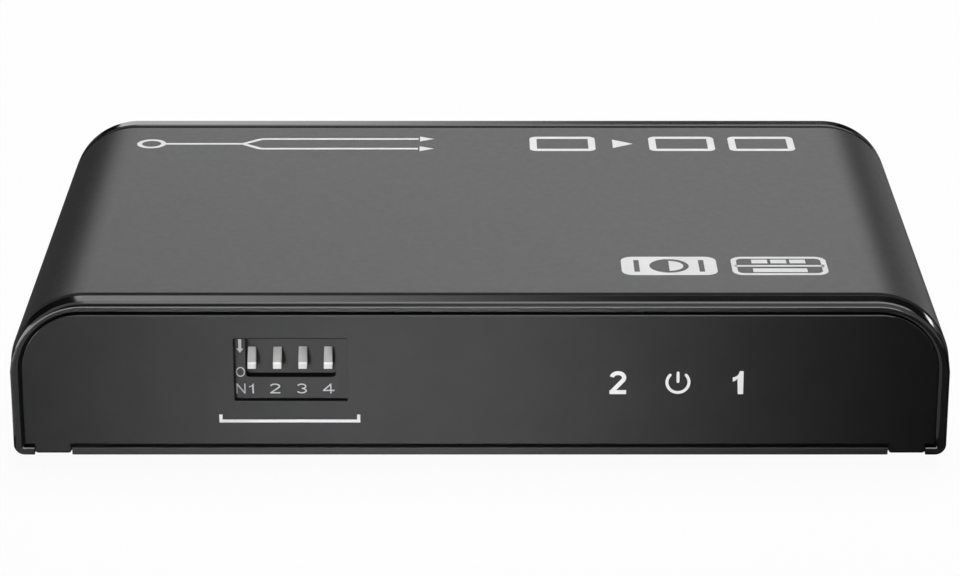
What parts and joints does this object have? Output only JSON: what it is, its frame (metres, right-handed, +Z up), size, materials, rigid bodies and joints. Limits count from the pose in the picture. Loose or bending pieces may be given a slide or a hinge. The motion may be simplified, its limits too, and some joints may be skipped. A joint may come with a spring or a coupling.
{
  "type": "video splitter",
  "caption": "Low black metal box that splits a digital video signal to two displays, with a lever selector and lit numerals in front and video ports and a power inlet behind.",
  "frame": {"origin": "middle of the footprint, on the surface that the feet stand on", "axes": "+X to the right seen from the front, the front panel faces -Y, +Z up"},
  "size_m": [0.094, 0.0586, 0.0179],
  "materials": {
    "cover_coat": "satin",
    "sheet_coat": "satin",
    "screw_steel": "satin",
    "foot_rubber": "matte",
    "board_laminate": "satin",
    "port_steel": "satin",
    "black_moulding": "matte",
    "contact_gold": "polished",
    "terminal_tin": "polished",
    "selector_grey": "matte",
    "lever_white": "satin",
    "clear_white": "gloss",
    "chip_black": "matte",
    "pad_grey": "matte",
    "bare_aluminium": "satin",
    "chip_ceramic": "matte"
  },
  "bodies": {
    "case": {"top_cover": "cover_coat", "base_plate": "sheet_coat", "front_panel": "sheet_coat", "rear_panel": "sheet_coat", "case_screws": "screw_steel", "board_screws": "screw_steel", "board_standoffs": "screw_steel", "foot_front_left": "foot_rubber", "foot_front_right": "foot_rubber", "foot_rear_left": "foot_rubber", "foot_rear_right": "foot_rubber", "circuit_board": "board_laminate", "output_1_shell": "port_steel", "output_2_shell": "port_steel", "input_shell": "port_steel", "output_1_insulator": "black_moulding", "output_2_insulator": "black_moulding", "input_insulator": "black_moulding", "power_jack_body": "black_moulding", "selector_base": "black_moulding", "indicator_holder": "black_moulding", "output_1_contacts": "contact_gold", "output_2_contacts": "contact_gold", "input_contacts": "contact_gold", "power_jack_pin": "terminal_tin", "power_jack_spring": "terminal_tin", "selector_leads": "terminal_tin", "crystal": "terminal_tin", "selector_housing": "selector_grey", "indicator_2": "clear_white", "indicator_power": "clear_white", "indicator_1": "clear_white", "led_2": "clear_white", "led_power": "clear_white", "led_1": "clear_white", "splitter_chip": "chip_black", "controller_chip": "chip_black", "memory_chip": "chip_black", "surge_arrays": "chip_black", "regulator": "chip_black", "inductor": "chip_black", "thermal_pad": "pad_grey", "heat_sink": "bare_aluminium", "filter_capacitors": "bare_aluminium", "chip_resistors": "chip_ceramic", "chip_capacitors": "chip_ceramic"},
    "lever_1": {"selector_lever_1": "lever_white"},
    "lever_2": {"selector_lever_2": "lever_white"},
    "lever_3": {"selector_lever_3": "lever_white"},
    "lever_4": {"selector_lever_4": "lever_white"}
  },
  "joints": [
    {"name": "lever_1_slide", "type": "slide", "parent": "case", "child": "lever_1", "axis": [0, 0, 1], "range_m": [0, 0.0015]},
    {"name": "lever_2_slide", "type": "slide", "parent": "case", "child": "lever_2", "axis": [0, 0, 1], "range_m": [0, 0.0015]},
    {"name": "lever_3_slide", "type": "slide", "parent": "case", "child": "lever_3", "axis": [0, 0, 1], "range_m": [0, 0.0015]},
    {"name": "lever_4_slide", "type": "slide", "parent": "case", "child": "lever_4", "axis": [0, 0, 1], "range_m": [0, 0.0015]}
  ]
}
